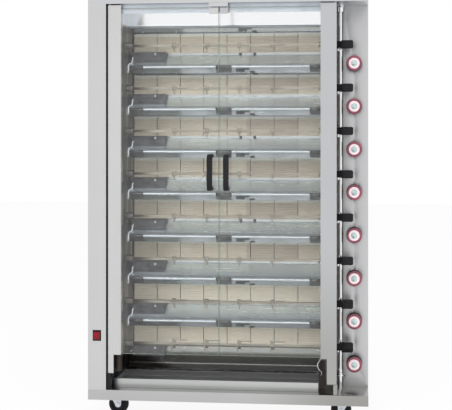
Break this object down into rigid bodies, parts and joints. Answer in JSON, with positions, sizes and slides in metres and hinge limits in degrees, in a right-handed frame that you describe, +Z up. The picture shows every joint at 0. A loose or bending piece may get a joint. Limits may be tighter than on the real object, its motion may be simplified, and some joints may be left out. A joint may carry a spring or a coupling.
{
  "type": "chicken rotisserie",
  "caption": "Floor-standing gas rotisserie oven with glass double doors, horizontal motor-driven spits, ceramic infrared burners, gas knobs, drip tray and casters.",
  "frame": {"origin": "on the floor, under the middle of the outer box", "axes": "+X to the right seen from the front, -Y to the front, +Z up"},
  "size_m": [1.1, 0.566, 1.774],
  "materials": {
    "stainless": "brushed",
    "liner_steel": "satin, heat stained",
    "ceramic_plate": "matte, perforated",
    "scorched_steel": "scorched",
    "polished_rod": "polished",
    "spit_steel": "satin",
    "gas_brass": "satin",
    "motor_paint": "satin",
    "chain_steel": "oiled",
    "door_glass": "clear",
    "black_plastic": "satin",
    "red_plastic": "gloss",
    "zinc_plate": "zinc plated",
    "caster_rubber": "matte"
  },
  "bodies": {
    "cabinet": {"base_frame": "stainless", "header": "stainless", "left_column": "stainless", "outer_panels": "stainless", "control_panel": "stainless", "cavity_liner": "liner_steel", "burner_housings": "liner_steel", "ceramic_tiles": "ceramic_plate", "pilot_guards": "scorched_steel", "support_rod": "polished_rod", "gas_rail": "gas_brass", "gear_motor": "motor_paint", "drive_chain": "chain_steel", "rear_caster_forks": "zinc_plate"},
    "left_door": {"door_glass_left": "door_glass", "door_stile_left": "stainless", "door_handle_left": "black_plastic"},
    "right_door": {"door_glass_right": "door_glass", "door_stile_right": "stainless", "door_handle_right": "black_plastic"},
    "tray": {"drip_tray": "stainless"},
    "switch": {"rocker_switch": "red_plastic"},
    "left_caster": {"caster_fork_left": "zinc_plate"},
    "right_caster": {"caster_fork_right": "zinc_plate"},
    "left_front_wheel": {"wheel_front_left": "caster_rubber"},
    "right_front_wheel": {"wheel_front_right": "caster_rubber"},
    "left_rear_wheel": {"wheel_rear_left": "caster_rubber"},
    "right_rear_wheel": {"wheel_rear_right": "caster_rubber"},
    "rotor_1": {"drive_socket_1": "spit_steel", "spit_1": "spit_steel", "grip_1": "black_plastic"},
    "gas_knob_1": {"knob_1": "red_plastic"},
    "rotor_2": {"drive_socket_2": "spit_steel", "spit_2": "spit_steel", "grip_2": "black_plastic"},
    "gas_knob_2": {"knob_2": "red_plastic"},
    "rotor_3": {"drive_socket_3": "spit_steel", "spit_3": "spit_steel", "grip_3": "black_plastic"},
    "gas_knob_3": {"knob_3": "red_plastic"},
    "rotor_4": {"drive_socket_4": "spit_steel", "spit_4": "spit_steel", "grip_4": "black_plastic"},
    "gas_knob_4": {"knob_4": "red_plastic"},
    "rotor_5": {"drive_socket_5": "spit_steel", "spit_5": "spit_steel", "grip_5": "black_plastic"},
    "gas_knob_5": {"knob_5": "red_plastic"},
    "rotor_6": {"drive_socket_6": "spit_steel", "spit_6": "spit_steel", "grip_6": "black_plastic"},
    "gas_knob_6": {"knob_6": "red_plastic"},
    "rotor_7": {"drive_socket_7": "spit_steel", "spit_7": "spit_steel", "grip_7": "black_plastic"},
    "gas_knob_7": {"knob_7": "red_plastic"},
    "rotor_8": {"drive_socket_8": "spit_steel", "spit_8": "spit_steel", "grip_8": "black_plastic"},
    "gas_knob_8": {"knob_8": "red_plastic"}
  },
  "joints": [
    {"name": "left_door_hinge", "type": "hinge", "parent": "cabinet", "child": "left_door", "pos_m": [-0.466, -0.22, 0.9], "axis": [0, 0, -1], "range_deg": [0, 100]},
    {"name": "right_door_hinge", "type": "hinge", "parent": "cabinet", "child": "right_door", "pos_m": [0.422, -0.22, 0.9], "axis": [0, 0, 1], "range_deg": [0, 100]},
    {"name": "tray_slide", "type": "slide", "parent": "cabinet", "child": "tray", "axis": [0, -1, 0], "range_m": [0, 0.2]},
    {"name": "switch_rocker", "type": "hinge", "parent": "cabinet", "child": "switch", "pos_m": [-0.514, -0.234, 0.326], "axis": [-1, 0, 0], "range_deg": [0, 14]},
    {"name": "spit_1_turn", "type": "hinge", "parent": "cabinet", "child": "rotor_1", "pos_m": [0, -0.125, 1.475], "axis": [1, 0, 0], "continuous": true},
    {"name": "spit_2_turn", "type": "hinge", "parent": "cabinet", "child": "rotor_2", "pos_m": [0, -0.125, 1.304], "axis": [1, 0, 0], "continuous": true},
    {"name": "spit_3_turn", "type": "hinge", "parent": "cabinet", "child": "rotor_3", "pos_m": [0, -0.125, 1.133], "axis": [1, 0, 0], "continuous": true},
    {"name": "spit_4_turn", "type": "hinge", "parent": "cabinet", "child": "rotor_4", "pos_m": [0, -0.125, 0.962], "axis": [1, 0, 0], "continuous": true},
    {"name": "spit_5_turn", "type": "hinge", "parent": "cabinet", "child": "rotor_5", "pos_m": [0, -0.125, 0.791], "axis": [1, 0, 0], "continuous": true},
    {"name": "spit_6_turn", "type": "hinge", "parent": "cabinet", "child": "rotor_6", "pos_m": [0, -0.125, 0.62], "axis": [1, 0, 0], "continuous": true},
    {"name": "spit_7_turn", "type": "hinge", "parent": "cabinet", "child": "rotor_7", "pos_m": [0, -0.125, 0.449], "axis": [1, 0, 0], "continuous": true},
    {"name": "spit_8_turn", "type": "hinge", "parent": "cabinet", "child": "rotor_8", "pos_m": [0, -0.125, 0.278], "axis": [1, 0, 0], "continuous": true},
    {"name": "gas_knob_1_turn", "type": "hinge", "parent": "cabinet", "child": "gas_knob_1", "pos_m": [0.495, -0.08, 1.402], "axis": [0, -1, 0], "range_deg": [0, 180]},
    {"name": "gas_knob_2_turn", "type": "hinge", "parent": "cabinet", "child": "gas_knob_2", "pos_m": [0.495, -0.08, 1.231], "axis": [0, -1, 0], "range_deg": [0, 180]},
    {"name": "gas_knob_3_turn", "type": "hinge", "parent": "cabinet", "child": "gas_knob_3", "pos_m": [0.495, -0.08, 1.06], "axis": [0, -1, 0], "range_deg": [0, 180]},
    {"name": "gas_knob_4_turn", "type": "hinge", "parent": "cabinet", "child": "gas_knob_4", "pos_m": [0.495, -0.08, 0.889], "axis": [0, -1, 0], "range_deg": [0, 180]},
    {"name": "gas_knob_5_turn", "type": "hinge", "parent": "cabinet", "child": "gas_knob_5", "pos_m": [0.495, -0.08, 0.718], "axis": [0, -1, 0], "range_deg": [0, 180]},
    {"name": "gas_knob_6_turn", "type": "hinge", "parent": "cabinet", "child": "gas_knob_6", "pos_m": [0.495, -0.08, 0.547], "axis": [0, -1, 0], "range_deg": [0, 180]},
    {"name": "gas_knob_7_turn", "type": "hinge", "parent": "cabinet", "child": "gas_knob_7", "pos_m": [0.495, -0.08, 0.376], "axis": [0, -1, 0], "range_deg": [0, 180]},
    {"name": "gas_knob_8_turn", "type": "hinge", "parent": "cabinet", "child": "gas_knob_8", "pos_m": [0.495, -0.08, 0.205], "axis": [0, -1, 0], "range_deg": [0, 180]},
    {"name": "left_caster_swivel", "type": "hinge", "parent": "cabinet", "child": "left_caster", "pos_m": [-0.464, -0.15, 0.09], "axis": [0, 0, 1], "continuous": true},
    {"name": "left_front_roll", "type": "hinge", "parent": "left_caster", "child": "left_front_wheel", "pos_m": [-0.444, -0.15, 0.04], "axis": [0, 1, 0], "continuous": true},
    {"name": "left_rear_roll", "type": "hinge", "parent": "cabinet", "child": "left_rear_wheel", "pos_m": [-0.464, 0.15, 0.04], "axis": [1, 0, 0], "continuous": true},
    {"name": "right_caster_swivel", "type": "hinge", "parent": "cabinet", "child": "right_caster", "pos_m": [0.464, -0.15, 0.09], "axis": [0, 0, 1], "continuous": true},
    {"name": "right_front_roll", "type": "hinge", "parent": "right_caster", "child": "right_front_wheel", "pos_m": [0.444, -0.15, 0.04], "axis": [0, 1, 0], "continuous": true},
    {"name": "right_rear_roll", "type": "hinge", "parent": "cabinet", "child": "right_rear_wheel", "pos_m": [0.464, 0.15, 0.04], "axis": [1, 0, 0], "continuous": true}
  ],
  "couplings": [
    {"joint": "spit_2_turn", "follows": "spit_1_turn", "ratio": 1},
    {"joint": "spit_3_turn", "follows": "spit_1_turn", "ratio": 1},
    {"joint": "spit_4_turn", "follows": "spit_1_turn", "ratio": 1},
    {"joint": "spit_5_turn", "follows": "spit_1_turn", "ratio": 1},
    {"joint": "spit_6_turn", "follows": "spit_1_turn", "ratio": 1},
    {"joint": "spit_7_turn", "follows": "spit_1_turn", "ratio": 1},
    {"joint": "spit_8_turn", "follows": "spit_1_turn", "ratio": 1}
  ]
}
